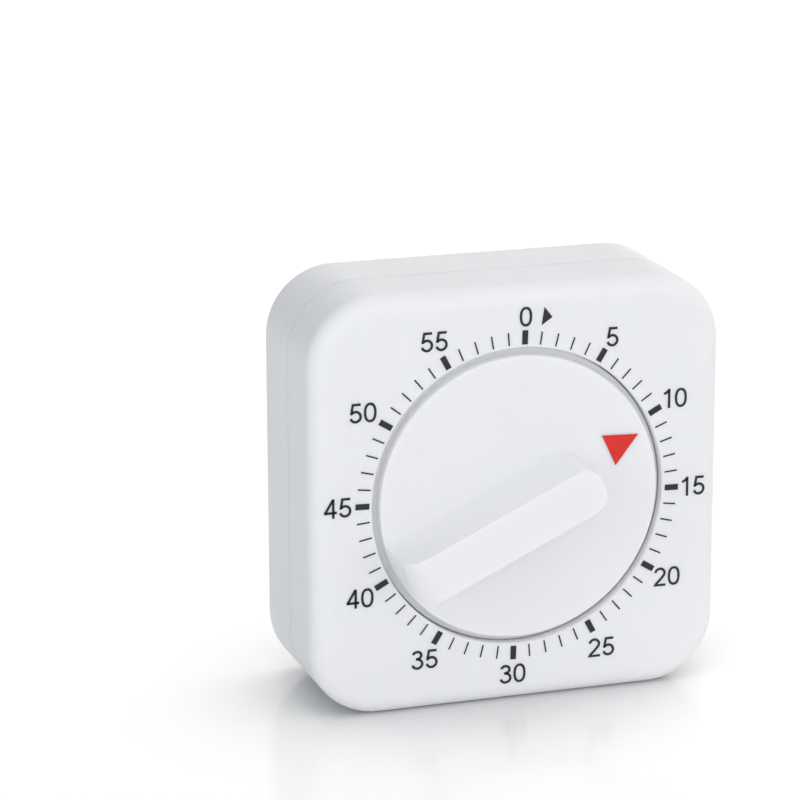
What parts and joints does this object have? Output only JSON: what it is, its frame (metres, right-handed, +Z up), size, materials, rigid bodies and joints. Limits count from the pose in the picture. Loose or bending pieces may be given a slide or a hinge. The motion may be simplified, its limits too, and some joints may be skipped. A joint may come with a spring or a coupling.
{
  "type": "kitchen timer",
  "caption": "Square wind-up kitchen timer with a round turning knob, a straight grip, a minute dial, a spring movement and a bell.",
  "frame": {"origin": "centre of the whole timer's footprint, on the surface it stands on", "axes": "+Z up, -Y out of the dial towards the person who reads it, +X to that person's right"},
  "size_m": [0.075, 0.0434, 0.075],
  "materials": {
    "case_plastic": "fine satin, moulded",
    "knob_plastic": "fine satin, moulded",
    "pointer_red": "satin",
    "brass": "brushed sheet",
    "steel": "turned and ground",
    "screw_steel": "zinc plated",
    "spring_steel": "blued by heat",
    "bell_metal": "plated"
  },
  "bodies": {
    "case": {"front_case": "case_plastic", "rear_cover": "case_plastic", "cover_screws": "screw_steel", "front_plate": "brass", "back_plate": "brass", "pillars": "steel", "pillar_screws": "screw_steel", "movement_screws": "screw_steel", "hairspring_stud": "brass", "lever_stud": "steel", "lever_spring": "spring_steel", "bell": "bell_metal", "bell_post": "steel", "bell_screw": "screw_steel"},
    "knob": {"knob": "knob_plastic", "pointer": "pointer_red", "main_arbor": "steel", "arbor_clip": "steel", "great_wheel": "brass", "ratchet_wheel": "steel", "click": "steel", "click_stud": "steel", "click_spring": "spring_steel", "cam_disc": "steel", "mainspring": "spring_steel"},
    "barrel": {"alarm_barrel": "brass"},
    "second": {"second_arbor": "steel", "second_wheel": "brass"},
    "third": {"third_arbor": "steel", "third_wheel": "brass"},
    "escape": {"escape_arbor": "steel", "escape_wheel": "brass"},
    "balance": {"balance_staff": "steel", "pallet_anchor": "steel", "balance_wheel": "brass", "hairspring_collet": "brass", "hairspring": "spring_steel"},
    "strike": {"strike_arbor": "steel", "strike_wheel": "steel"},
    "hammer": {"hammer_arbor": "steel", "hammer_anchor": "steel", "hammer": "steel"},
    "release": {"release_lever": "steel"}
  },
  "joints": [
    {"name": "knob_turn", "type": "hinge", "parent": "case", "child": "knob", "pos_m": [0, 0.0057, 0.0375], "axis": [0, 1, 0], "range_deg": [-63.16, 291.84], "deforming": ["mainspring"]},
    {"name": "barrel_turn", "type": "hinge", "parent": "case", "child": "barrel", "pos_m": [0, 0.0096, 0.0375], "axis": [0, 1, 0], "range_deg": [0, 360]},
    {"name": "second_spin", "type": "hinge", "parent": "case", "child": "second", "pos_m": [-0.01261, 0.0037, 0.02867], "axis": [0, 1, 0], "continuous": true},
    {"name": "third_spin", "type": "hinge", "parent": "case", "child": "third", "pos_m": [-0.01058, 0.0057, 0.01867], "axis": [0, 1, 0], "continuous": true},
    {"name": "escape_spin", "type": "hinge", "parent": "case", "child": "escape", "pos_m": [-0.00158, 0.0077, 0.01867], "axis": [0, 1, 0], "continuous": true},
    {"name": "balance_swing", "type": "hinge", "parent": "case", "child": "balance", "pos_m": [0.00502, 0.0043, 0.01867], "axis": [0, 1, 0], "range_deg": [-10, 10], "stiffness_Nm_per_rad": 0.000007, "deforming": ["hairspring"]},
    {"name": "strike_spin", "type": "hinge", "parent": "case", "child": "strike", "pos_m": [0.0099, 0.0041, 0.0493], "axis": [0, 1, 0], "continuous": true},
    {"name": "hammer_swing", "type": "hinge", "parent": "case", "child": "hammer", "pos_m": [0.0144, 0.0147, 0.05466], "axis": [0, -1, 0], "range_deg": [-1.5, 8]},
    {"name": "release_lift", "type": "hinge", "parent": "case", "child": "release", "pos_m": [-0.012, 0.0045, 0.0495], "axis": [0, -1, 0], "range_deg": [0, 4], "stiffness_Nm_per_rad": 0.0002, "springref_deg": -1.15, "deforming": ["lever_spring"]}
  ],
  "couplings": [
    {"joint": "second_spin", "follows": "knob_turn", "ratio": -10},
    {"joint": "third_spin", "follows": "knob_turn", "ratio": 75},
    {"joint": "escape_spin", "follows": "knob_turn", "ratio": -600},
    {"joint": "strike_spin", "follows": "barrel_turn", "ratio": -10}
  ]
}
